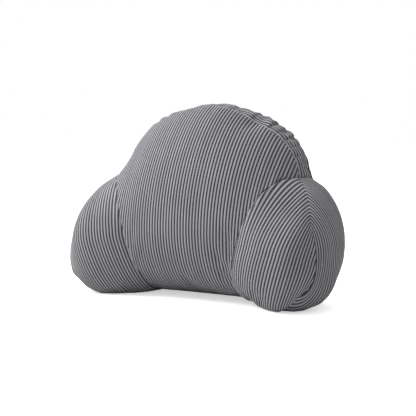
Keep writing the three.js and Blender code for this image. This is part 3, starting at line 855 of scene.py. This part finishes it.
stuffing = {
    # cells across and along each panel of the coarse copy, and steps of its seams
    "cells": {
        "innerArm": (12, 22),
        "outerArm": (16, 22),
        "frontPanel": (36, 40),
        "boxingStrip": (56, 6),
        "backPanel": (34, 26),
        "baseStrip": (20, 3),
    },
    "steps": {
        "valley": 24,
        "ridge": 14,
        "under": 14,
        "tip": 24,
        "side": 22,
        "stripEnd": 6,
        "baseEnd": 6,
        "frontDome": 56,
        "backDome": 56,
        "baseFront": 20,
        "baseBack": 30,
    },
    "pressure": 4.0,
    "frames": 20,
    "spare": 0.03,  # how much wider the cloth is cut than the seams hold it
    "cap": 3.0,  # the furthest that a point may move
    "floorHold": 8,  # the cloth is held up to this height, where it stands on the floor
}


def coarseSeam(name):
    # even steps along the bare seam line
    share = np.linspace(0, 1, stuffing["steps"][name] + 1)
    return seamLines[name](share), share


def coarsePanel(name):
    # an even grid of cells on the bare panel, without its edges
    u, v = (np.arange(1, cells) / cells for cells in stuffing["cells"][name])
    gridU, gridV = np.meshgrid(u, v, indexing="ij")
    return u, v, surfaces[name](gridU, gridV), (np.eye(2), (0, 0))


def blowUp(cage):
    # cloth under inner pressure without gravity, held at the sewn-in seams and on the floor;
    # gives the move of each point, bent smoothly to stay under the cap
    mesh = coverMesh(cage, "cage")
    balloon = bpy.data.objects.new("cage", mesh)
    bpy.context.collection.objects.link(balloon)
    before, after = (np.empty(3 * len(mesh.vertices), np.float32) for _ in range(2))
    mesh.vertices.foreach_get("co", before)
    sewn = {name for seams in sewnIn.values() for name in seams}
    lines = [ids for (name, _), (ids, _) in cage.seams.items() if name in sewn]
    held = cage.newIds[np.concatenate(lines)]
    low = np.flatnonzero(before[2::3] < stuffing["floorHold"] * mm)
    balloon.vertex_groups.new(name="held").add(np.union1d(held, low).tolist(), 1.0, "REPLACE")
    modifier = balloon.modifiers.new("stuffing", "CLOTH")
    modifier.point_cache.frame_start, modifier.point_cache.frame_end = 1, stuffing["frames"]
    settings = modifier.settings
    settings.vertex_group_mass = "held"
    settings.use_pressure = True
    settings.uniform_pressure_force = stuffing["pressure"]
    settings.effector_weights.gravity = 0
    settings.shrink_min = -stuffing["spare"]
    for step in range(1, stuffing["frames"] + 1):
        bpy.context.scene.frame_set(step)
    graph = bpy.context.evaluated_depsgraph_get()
    balloon.evaluated_get(graph).data.vertices.foreach_get("co", after)
    bpy.context.scene.frame_set(1)
    bpy.data.objects.remove(balloon)
    bpy.data.meshes.remove(mesh)
    moves = (after - before).reshape(-1, 3)[cage.newIds] / mm
    length = np.linalg.norm(moves, axis=1, keepdims=True) + tiny
    return moves * np.tanh(length / stuffing["cap"]) * stuffing["cap"] / length


def movesAlong(seam, moves, share):
    # straight between the points of a seam
    ids, shares = seam
    return np.stack([np.interp(share, shares, moves[ids, axis]) for axis in range(3)], -1)


def panelMoves(panel, moves, u, v):
    # smooth curves across and then along the panel's cells, whose edges are its seams
    ids, cellU, cellV, (low, right, high, left) = panel
    allU, allV = (np.linspace(0, 1, len(cell) + 2) for cell in (cellU, cellV))
    grid = np.zeros((len(allU), len(allV), 3))
    grid[1:-1, 1:-1] = moves[ids]
    grid[:, 0], grid[:, -1] = movesAlong(low, moves, allU), movesAlong(high, moves, allU)
    grid[0], grid[-1] = movesAlong(left, moves, allV), movesAlong(right, moves, allV)
    across = throughRows(grid.reshape(len(allU), -1), u).reshape(len(u), len(allV), 3)
    along = throughRows(across.swapaxes(0, 1).reshape(len(allV), -1), v)
    return along.reshape(len(v), len(u), 3).swapaxes(0, 1)


def stuff(cover):
    # each seam and panel of the fine cover moves as the same place of the coarse copy does
    cage = sewCover(coarseSeam, coarsePanel)
    moves = blowUp(cage)
    points = np.concatenate(cover.points)
    for key, (ids, share) in cover.seams.items():
        points[ids] += movesAlong(cage.seams[key], moves, share)
    for key, (ids, u, v, _) in cover.panels.items():
        points[ids] += panelMoves(cage.panels[key], moves, u, v)
    points[:, 2] = np.maximum(points[:, 2], 0)
    cover.points = [points]
    lengths = np.linalg.norm(moves, axis=1)
    print("stuffed, mean and largest move in mm", lengths.mean().round(2), lengths.max().round(2))


stuff(cover)
mesh = coverMesh(cover, "pillowCover")
pillow = bpy.data.objects.new("pillowCover", mesh)
bpy.context.collection.objects.link(pillow)
mesh.polygons.foreach_set("use_smooth", np.ones(len(mesh.polygons), bool))
print("cover sewn, triangles", sum(len(p.vertices) - 2 for p in mesh.polygons))


# corduroy: rows of pile with bare ground between, on the rib coordinates of the pattern pieces; the
# grooves and rib flanks are darkened in colour as painted shade

cloth = {
    # painted shade: the groove and flank colours below are darker than the pile for the shade that falls
    # between the ribs
    "groundShade": (0.018, 0.0172, 0.0188, 1),
    "wallShade": (0.082, 0.0803, 0.0853, 1),
    "pile": (0.222, 0.2173, 0.2333, 1),
    "shadeBands": (0.05, 0.2, 0.4),  # where the painted groove shade, the painted flank shade and the pile lie from a groove to a crest at 0.5
    "ragged": 0.12,  # how unevenly the bands run
    "raggedScale": (5, 2.5, 1),
    "raggedDetail": 2.0,
    "cloudScale": 14.0,
    "cloudDetail": 3.0,
    "cloudNoise": (0.3, 0.7),  # values of the noise that are spread over the clouds
    "clouds": (0.92, 1.06),
    "ribTones": (0.93, 1.07),
    "fuzzScale": 900.0,
    "fuzzDetail": 2.0,
    "fuzzStrength": 0.35,
    "fuzzDepth": 0.0004,  # metres
    "roughness": 0.95,
    "sheen": 0.12,
    "sheenRoughness": 0.5,
    "specular": 0.12,
}


def node(tree, kind, inputs=None, **settings):
    # a new shader node with its settings, and its inputs linked from sockets or set to values
    made = tree.nodes.new(kind)
    for name, value in settings.items():
        setattr(made, name, value)
    for name, value in (inputs or {}).items():
        if isinstance(value, bpy.types.NodeSocket):
            tree.links.new(value, made.inputs[name])
        else:
            made.inputs[name].default_value = value
    return made


def noise(tree, vector, scale, detail):
    # the grey value of a noise texture
    inputs = {"Vector": vector, "Scale": scale, "Detail": detail}
    return node(tree, "ShaderNodeTexNoise", inputs).outputs["Fac"]


def maths(tree, operation, *values):
    # one step of arithmetic on sockets and numbers
    inputs = dict(enumerate(values))
    return node(tree, "ShaderNodeMath", inputs, operation=operation).outputs[0]


def makeCorduroy():
    # a triangle wave across each rib gives the groove and flank colours, darkened as painted shade, and
    # the pile colour, and noise stretched along the rib breaks up their edges; the colour is scaled by
    # faint clouds and by a random tone for each rib
    material = bpy.data.materials.new("corduroy")
    material.use_nodes = True
    tree = material.node_tree
    shader = tree.nodes["Principled BSDF"]
    ribs = node(tree, "ShaderNodeUVMap", uv_map="ribs").outputs["UV"]
    objectPlace = node(tree, "ShaderNodeTexCoord").outputs["Object"]
    across = node(tree, "ShaderNodeSeparateXYZ", {0: ribs}).outputs["X"]
    wave = maths(tree, "PINGPONG", across, 0.5)
    stretch = {"Vector": ribs, "Scale": cloth["raggedScale"]}
    stretched = node(tree, "ShaderNodeMapping", stretch).outputs[0]
    pile = noise(tree, stretched, 1.0, cloth["raggedDetail"])
    ragged = maths(tree, "MULTIPLY_ADD", pile, cloth["ragged"], -cloth["ragged"] / 2)
    # painted shade: this ramp darkens each rib's groove and flanks away from the pile colour
    ramp = node(tree, "ShaderNodeValToRGB", {"Fac": maths(tree, "ADD", wave, ragged)})
    stops = ramp.color_ramp.elements
    groundShadeStop, wallShadeStop, pileStop = cloth["shadeBands"]
    stops[0].position, stops[0].color = groundShadeStop, cloth["groundShade"]
    stops[1].position, stops[1].color = pileStop, cloth["pile"]
    stops.new(wallShadeStop).color = cloth["wallShade"]
    clouds = noise(tree, objectPlace, cloth["cloudScale"], cloth["cloudDetail"])
    least, most = cloth["cloudNoise"]
    low, high = cloth["clouds"]
    spread = {"Value": clouds, "From Min": least, "From Max": most, "To Min": low, "To Max": high}
    shade = node(tree, "ShaderNodeMapRange", spread).outputs[0]
    number = {"W": maths(tree, "FLOOR", across)}
    chance = node(tree, "ShaderNodeTexWhiteNoise", number, noise_dimensions="1D").outputs["Value"]
    low, high = cloth["ribTones"]
    tone = node(tree, "ShaderNodeMapRange", {"Value": chance, "To Min": low, "To Max": high}).outputs[0]
    scaled = {0: ramp.outputs["Color"], "Scale": maths(tree, "MULTIPLY", shade, tone)}
    colour = node(tree, "ShaderNodeVectorMath", scaled, operation="SCALE").outputs[0]
    tree.links.new(colour, shader.inputs["Base Color"])
    fuzz = noise(tree, objectPlace, cloth["fuzzScale"], cloth["fuzzDetail"])
    rough = {"Height": fuzz, "Strength": cloth["fuzzStrength"], "Distance": cloth["fuzzDepth"]}
    tree.links.new(node(tree, "ShaderNodeBump", rough).outputs[0], shader.inputs["Normal"])
    shader.inputs["Roughness"].default_value = cloth["roughness"]
    shader.inputs["Sheen Weight"].default_value = cloth["sheen"]
    shader.inputs["Sheen Roughness"].default_value = cloth["sheenRoughness"]
    shader.inputs["Specular IOR Level"].default_value = cloth["specular"]
    return material


mesh.materials.append(makeCorduroy())
print("corduroy on")

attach(pillow, "root")
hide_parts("pillow")


# floor and light

studio = {
    "white": (1, 1, 1, 1),
    "backdrop": 1.0,  # strength with which the surround is seen
    "floorReach": 30.0,
    "floor": (0.8, 0.8, 0.8, 1),
    "floorRoughness": 0.9,
    "floorSpecular": 0.1,
    "floorGlow": 0.55,  # seen on the floor, without lighting the pillow
    "surround": 0.91,  # mean strength of the light from all around
    "lightSide": (-0.8, 0.05, 0.6),  # the surround is brighter towards this direction
    "lightChange": 0.62,
    "keyPower": 120,
    "keySize": 1.8,
    "keyPlace": (-1.8, -1.0, 2.2),
    "keyAim": (0, 0, 0.15),
}


def makeFloor():
    # one flat square, pale, with a glow that only the camera sees
    mesh = bpy.data.meshes.new("floor")
    far = studio["floorReach"]
    corners = [(-far, -far, 0), (far, -far, 0), (far, far, 0), (-far, far, 0)]
    mesh.from_pydata(corners, [], [(0, 1, 2, 3)])
    floor = bpy.data.objects.new("floor", mesh)
    bpy.context.collection.objects.link(floor)
    material = bpy.data.materials.new("paleFloor")
    material.use_nodes = True
    tree = material.node_tree
    shader = tree.nodes["Principled BSDF"]
    shader.inputs["Base Color"].default_value = studio["floor"]
    shader.inputs["Emission Color"].default_value = studio["white"]
    seen = node(tree, "ShaderNodeLightPath").outputs["Is Camera Ray"]
    glow = maths(tree, "MULTIPLY", seen, studio["floorGlow"])
    tree.links.new(glow, shader.inputs["Emission Strength"])
    shader.inputs["Roughness"].default_value = studio["floorRoughness"]
    shader.inputs["Specular IOR Level"].default_value = studio["floorSpecular"]
    mesh.materials.append(material)


def makeLight():
    # a surround that is seen white and whose light changes evenly from side to side,
    # and a broad lamp on the left
    world = bpy.data.worlds.new("studio")
    bpy.context.scene.world = world
    world.use_nodes = True
    tree = world.node_tree
    sky = tree.nodes["Background"]
    sky.inputs["Color"].default_value = studio["white"]
    aim = {0: node(tree, "ShaderNodeTexCoord").outputs["Generated"], 1: studio["lightSide"]}
    towards = node(tree, "ShaderNodeVectorMath", aim, operation="DOT_PRODUCT").outputs["Value"]
    strength = maths(tree, "MULTIPLY_ADD", towards, studio["lightChange"], studio["surround"])
    seen = node(tree, "ShaderNodeLightPath").outputs["Is Camera Ray"]
    strengths = {0: seen, 2: strength, 3: studio["backdrop"]}  # lit by the first, seen as the second
    blend = node(tree, "ShaderNodeMix", strengths).outputs[0]
    tree.links.new(blend, sky.inputs["Strength"])
    key = bpy.data.lights.new("keyLight", "AREA")
    key.energy = studio["keyPower"]
    key.size = studio["keySize"]
    lamp = bpy.data.objects.new("keyLight", key)
    lamp.location = studio["keyPlace"]
    lamp.rotation_mode = "QUATERNION"
    lamp.rotation_quaternion = (Vector(studio["keyAim"]) - lamp.location).to_track_quat("-Z", "Y")
    bpy.context.collection.objects.link(lamp)
    bpy.context.scene.view_settings.view_transform = "Standard"


makeFloor()
makeLight()
print("floor and light set")
